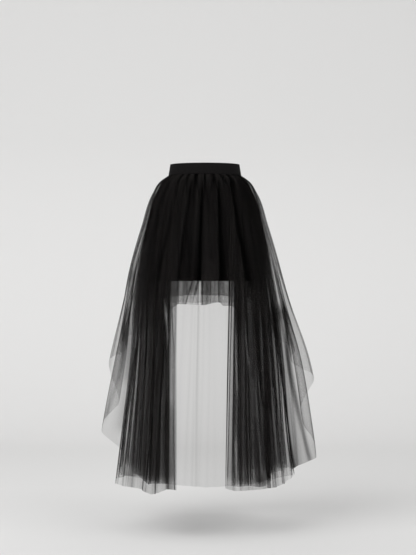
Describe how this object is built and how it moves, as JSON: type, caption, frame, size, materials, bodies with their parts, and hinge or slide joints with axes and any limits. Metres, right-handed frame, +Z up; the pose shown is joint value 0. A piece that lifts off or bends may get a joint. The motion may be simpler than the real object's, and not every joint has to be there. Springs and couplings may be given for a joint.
{
  "type": "high-low tutu skirt",
  "caption": "High-low tutu skirt of gathered net on an elastic waistband, with a short opaque lining, long side panels and a hem that falls from short at the open side to ankle length behind.",
  "frame": {"origin": "middle of the waistband, on the waist's axis, half way up the band", "axes": "+Z up along the wearer, -Y the open side where the net is short, +X to the right when facing the open side"},
  "size_m": [0.7065, 0.6366, 1.0845],
  "materials": {
    "waistband_elastic": "matte black ribbed elastic",
    "lining_cloth": "matte black opaque woven",
    "net": "soft black sheer net"
  },
  "bodies": {
    "root": {"waistband": "waistband_elastic", "lining": "lining_cloth", "short_net": "net", "high_low_net": "net", "left_panel_inner": "net", "left_panel_outer": "net", "right_panel_inner": "net", "right_panel_outer": "net"}
  },
  "joints": []
}
